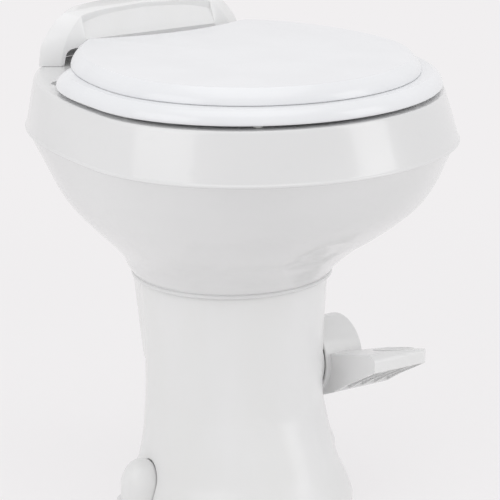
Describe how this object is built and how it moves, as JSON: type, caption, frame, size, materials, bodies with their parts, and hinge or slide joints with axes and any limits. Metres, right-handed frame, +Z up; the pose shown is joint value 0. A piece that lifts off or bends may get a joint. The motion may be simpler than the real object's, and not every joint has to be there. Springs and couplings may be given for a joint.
{
  "type": "rv toilet",
  "caption": "Pedal-flushed motor home toilet: round ceramic bowl with a seat and lid on a flared pedestal, with a hinge cover behind and a foot pedal at the side.",
  "frame": {"origin": "on the floor, at the middle of the bounding box", "axes": "+Z up, -Y out of the front of the bowl, +X to the side that the pedal is on"},
  "size_m": [0.378, 0.431, 0.466],
  "materials": {
    "ceramic": "glazed, high gloss",
    "seat_plastic": "polished moulding",
    "white_plastic": "satin gloss moulding",
    "pale_rubber": "matt",
    "rubber": "matt",
    "grey_plastic": "matt moulding",
    "black_plastic": "matt moulding",
    "brass": "turned",
    "steel": "zinc plated"
  },
  "bodies": {
    "base": {"bolt_cover_left": "white_plastic", "bolt_cover_right": "white_plastic", "bowl": "ceramic", "bowl_retainer_front": "steel", "bowl_retainer_rear": "steel", "bowl_seal": "rubber", "breaker_cap": "black_plastic", "floor_bolt_left": "steel", "floor_bolt_right": "steel", "floor_nut_left": "steel", "floor_nut_right": "steel", "floor_seal": "rubber", "floor_washer_left": "steel", "floor_washer_right": "steel", "flush_chamber": "grey_plastic", "hinge_bolt_left": "white_plastic", "hinge_bolt_right": "white_plastic", "hinge_nut_left": "white_plastic", "hinge_nut_right": "white_plastic", "hinge_pin_left": "steel", "hinge_pin_right": "steel", "hinge_post_left": "white_plastic", "hinge_post_right": "white_plastic", "hose_clamp_rim": "steel", "hose_clamp_valve": "steel", "inlet_fitting": "brass", "pedestal": "white_plastic", "rear_shroud": "white_plastic", "rear_skirt": "white_plastic", "retainer_screw_1": "steel", "retainer_screw_2": "steel", "retainer_screw_3": "steel", "retainer_screw_4": "steel", "return_spring": "steel", "rim_hose": "black_plastic", "rim_nozzle": "grey_plastic", "seat_bumper_front_left": "pale_rubber", "seat_bumper_front_right": "pale_rubber", "seat_bumper_side_left": "pale_rubber", "seat_bumper_side_right": "pale_rubber", "shaft_bush_left": "black_plastic", "shaft_bush_right": "black_plastic", "spring_cartridge": "black_plastic", "supply_hose": "black_plastic", "vacuum_breaker": "grey_plastic", "valve_screw_1": "steel", "valve_screw_2": "steel", "water_valve": "black_plastic"},
    "pedal_drive": {"pedal": "white_plastic", "pedal_cap": "white_plastic", "pedal_screw": "steel", "drive_shaft": "steel", "flush_ball": "white_plastic", "idler_pin": "steel"},
    "plunger": {"valve_plunger": "white_plastic"},
    "seat": {"seat_ring": "seat_plastic"},
    "cover_lid": {"lid": "seat_plastic"}
  },
  "joints": [
    {"name": "pedal_press", "type": "hinge", "parent": "base", "child": "pedal_drive", "pos_m": [0, 0.012, 0.123], "axis": [1, 0, 0], "range_deg": [0, 63], "stiffness_Nm_per_rad": 1.2, "springref_deg": -40.11},
    {"name": "plunger_slide", "type": "slide", "parent": "base", "child": "plunger", "axis": [1, 0, 0], "range_m": [0, 0.003]},
    {"name": "seat_hinge", "type": "hinge", "parent": "base", "child": "seat", "pos_m": [0, 0.124, 0.4255], "axis": [-1, 0, 0], "range_deg": [0, 15]},
    {"name": "lid_hinge", "type": "hinge", "parent": "seat", "child": "cover_lid", "pos_m": [0, 0.124, 0.4255], "axis": [-1, 0, 0], "range_deg": [0, 90]}
  ],
  "couplings": [
    {"joint": "plunger_slide", "follows": "pedal_press", "m_per_rad": 0.002728}
  ]
}
